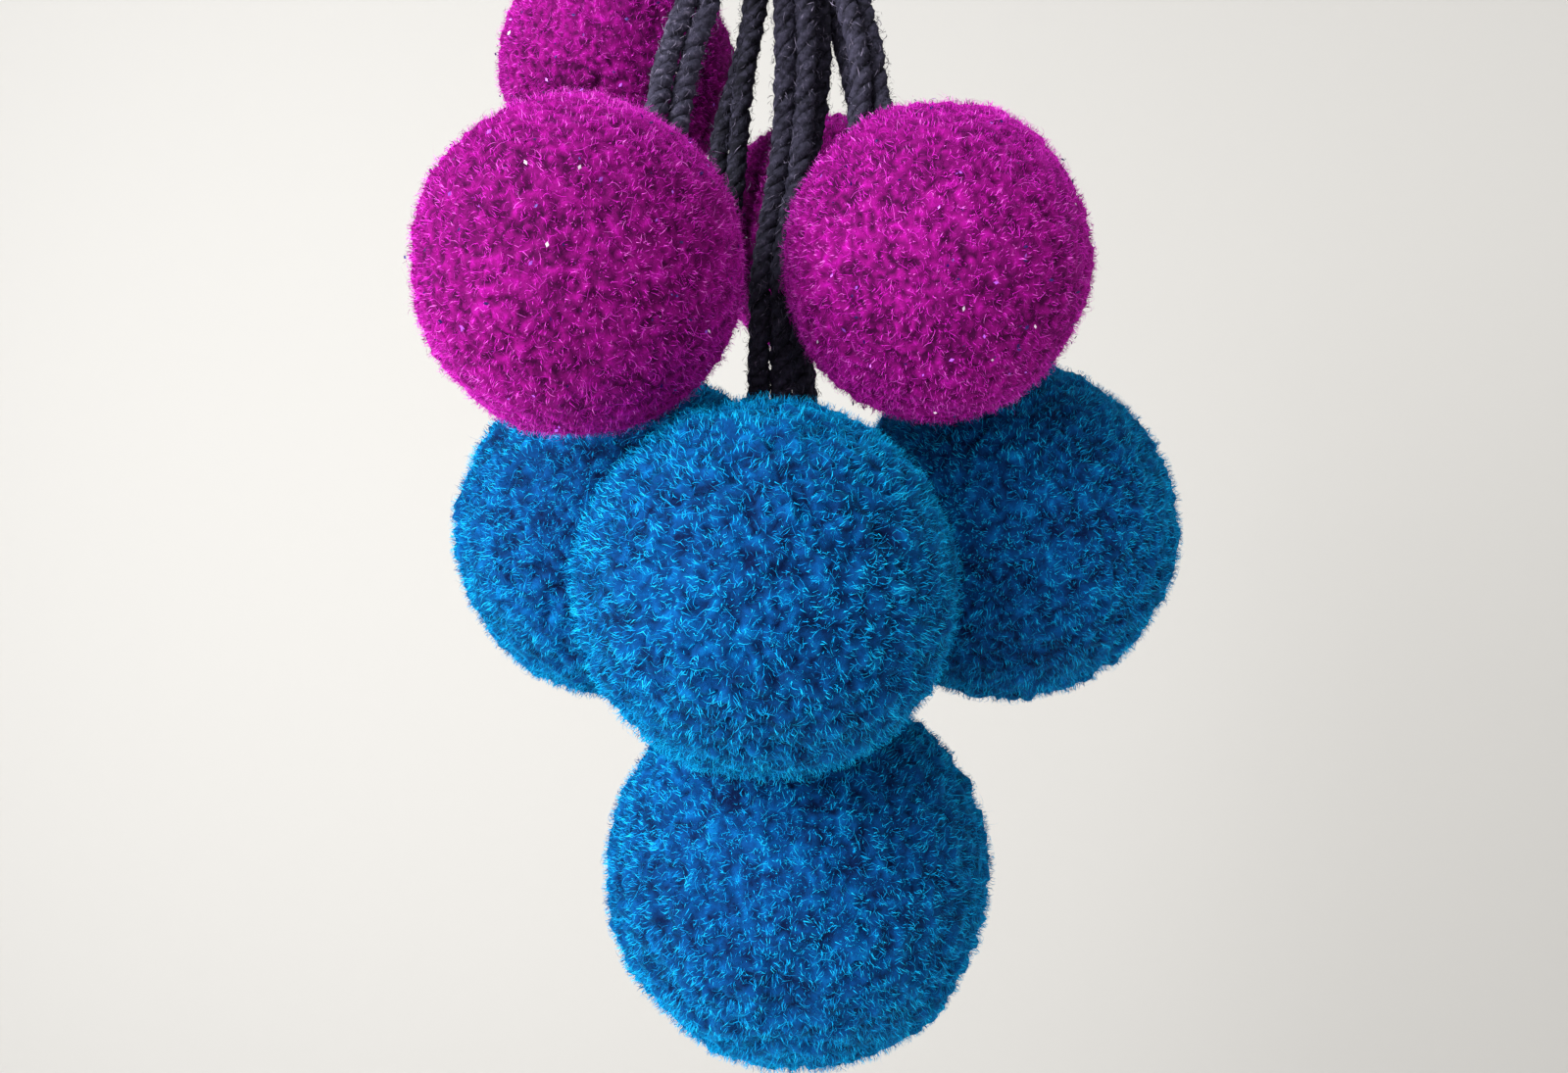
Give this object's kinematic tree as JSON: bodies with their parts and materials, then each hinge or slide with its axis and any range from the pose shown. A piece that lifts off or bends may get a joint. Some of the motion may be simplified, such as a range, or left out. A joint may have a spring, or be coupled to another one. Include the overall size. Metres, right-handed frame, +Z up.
{
  "type": "pom pom door hanger",
  "caption": "Bunch of round clipped wool pompoms in blue and magenta, hung at different heights on twisted black cords that are bound together under a hanging loop.",
  "frame": {"origin": "inner top of the hanging loop, where a door handle or hook carries the bunch", "axes": "+Z up along the hang, -Y the front that faces the viewer, +X to the viewer's right"},
  "size_m": [0.1798, 0.153, 0.3901],
  "materials": {
    "blue_wool": "dense clipped wool pile, matt with a soft sheen",
    "magenta_wool": "dense clipped wool pile with sparse glitter flecks",
    "black_cord": "fuzzy two-ply twisted wool cord"
  },
  "bodies": {
    "root": {"pompom_magenta_upper_left": "magenta_wool", "pompom_magenta_middle": "magenta_wool", "pompom_magenta_front_left": "magenta_wool", "pompom_magenta_front_right": "magenta_wool", "pompom_blue_back_left": "blue_wool", "pompom_blue_back_right": "blue_wool", "pompom_blue_front": "blue_wool", "pompom_blue_bottom": "blue_wool", "cord_magenta_upper_left_a": "black_cord", "cord_magenta_upper_left_b": "black_cord", "cord_magenta_middle_a": "black_cord", "cord_magenta_middle_b": "black_cord", "cord_magenta_front_left_a": "black_cord", "cord_magenta_front_left_b": "black_cord", "cord_magenta_front_right_a": "black_cord", "cord_magenta_front_right_b": "black_cord", "cord_blue_back_left_a": "black_cord", "cord_blue_back_left_b": "black_cord", "cord_blue_back_right_a": "black_cord", "cord_blue_back_right_b": "black_cord", "cord_blue_front_a": "black_cord", "cord_blue_front_b": "black_cord", "cord_blue_bottom_a": "black_cord", "cord_blue_bottom_b": "black_cord", "gather_wrap": "black_cord", "hanging_loop": "black_cord"}
  },
  "joints": []
}
